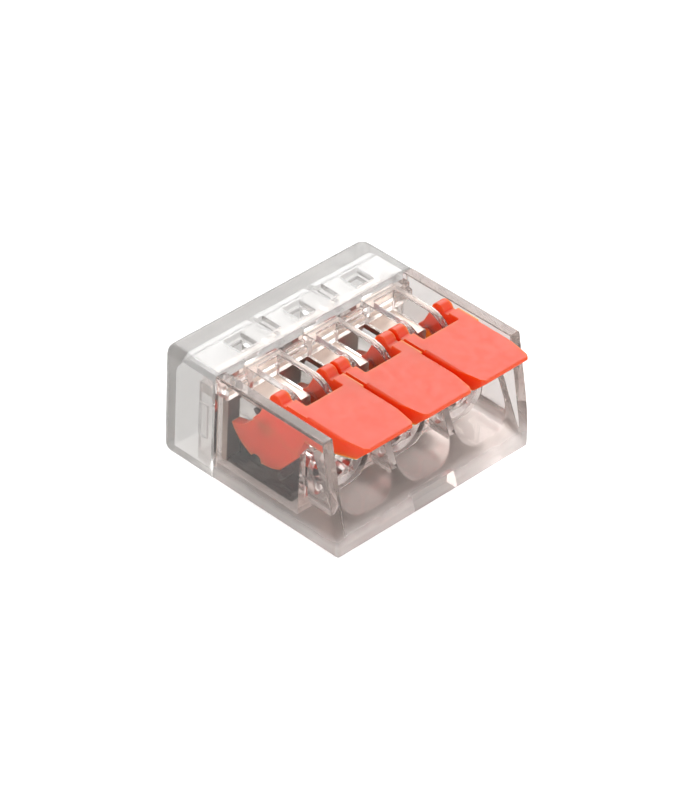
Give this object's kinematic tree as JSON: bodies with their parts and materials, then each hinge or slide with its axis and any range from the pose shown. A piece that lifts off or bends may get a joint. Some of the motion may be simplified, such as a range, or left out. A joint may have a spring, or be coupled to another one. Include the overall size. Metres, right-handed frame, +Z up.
{
  "type": "lever wire connector",
  "caption": "Compact clear splicing connector: wires go in side by side at the front, each clamped by its own hinged orange lever.",
  "frame": {"origin": "middle of the overall box, at the bottom face that the connector lies on", "axes": "+X across the poles, +Y from the wire entries back to the rear cap, +Z up through the levers"},
  "size_m": [0.019, 0.0174, 0.0089],
  "materials": {
    "clear_plastic": "clear polycarbonate, moulded glossy",
    "orange_plastic": "semi-gloss salmon orange",
    "tinned_copper": "tin plated copper strip",
    "spring_steel": "bare spring steel"
  },
  "bodies": {
    "case": {"housing": "clear_plastic", "rear_cap": "clear_plastic", "busbar": "tinned_copper", "clamp_spring_1": "spring_steel", "clamp_spring_2": "spring_steel", "clamp_spring_3": "spring_steel"},
    "lever_1": {"lever_1": "orange_plastic"},
    "lever_2": {"lever_2": "orange_plastic"},
    "lever_3": {"lever_3": "orange_plastic"},
    "clamp_leg_1": {"clamp_leg_1": "spring_steel"},
    "clamp_leg_2": {"clamp_leg_2": "spring_steel"},
    "clamp_leg_3": {"clamp_leg_3": "spring_steel"}
  },
  "joints": [
    {"name": "lever_1_pivot", "type": "hinge", "parent": "case", "child": "lever_1", "pos_m": [-0.0055, -0.00012, 0.0062], "axis": [-1, 0, 0], "range_deg": [0, 85]},
    {"name": "clamp_leg_1_flex", "type": "hinge", "parent": "case", "child": "clamp_leg_1", "pos_m": [-0.0055, -0.00242, 0.0019], "axis": [-1, 0, 0], "range_deg": [0, 29]},
    {"name": "lever_2_pivot", "type": "hinge", "parent": "case", "child": "lever_2", "pos_m": [0, -0.00012, 0.0062], "axis": [-1, 0, 0], "range_deg": [0, 85]},
    {"name": "clamp_leg_2_flex", "type": "hinge", "parent": "case", "child": "clamp_leg_2", "pos_m": [0, -0.00242, 0.0019], "axis": [-1, 0, 0], "range_deg": [0, 29]},
    {"name": "lever_3_pivot", "type": "hinge", "parent": "case", "child": "lever_3", "pos_m": [0.0055, -0.00012, 0.0062], "axis": [-1, 0, 0], "range_deg": [0, 85]},
    {"name": "clamp_leg_3_flex", "type": "hinge", "parent": "case", "child": "clamp_leg_3", "pos_m": [0.0055, -0.00242, 0.0019], "axis": [-1, 0, 0], "range_deg": [0, 29]}
  ],
  "couplings": [
    {"joint": "clamp_leg_1_flex", "follows": "lever_1_pivot", "ratio": 0.34118},
    {"joint": "clamp_leg_2_flex", "follows": "lever_2_pivot", "ratio": 0.34118},
    {"joint": "clamp_leg_3_flex", "follows": "lever_3_pivot", "ratio": 0.34118}
  ]
}
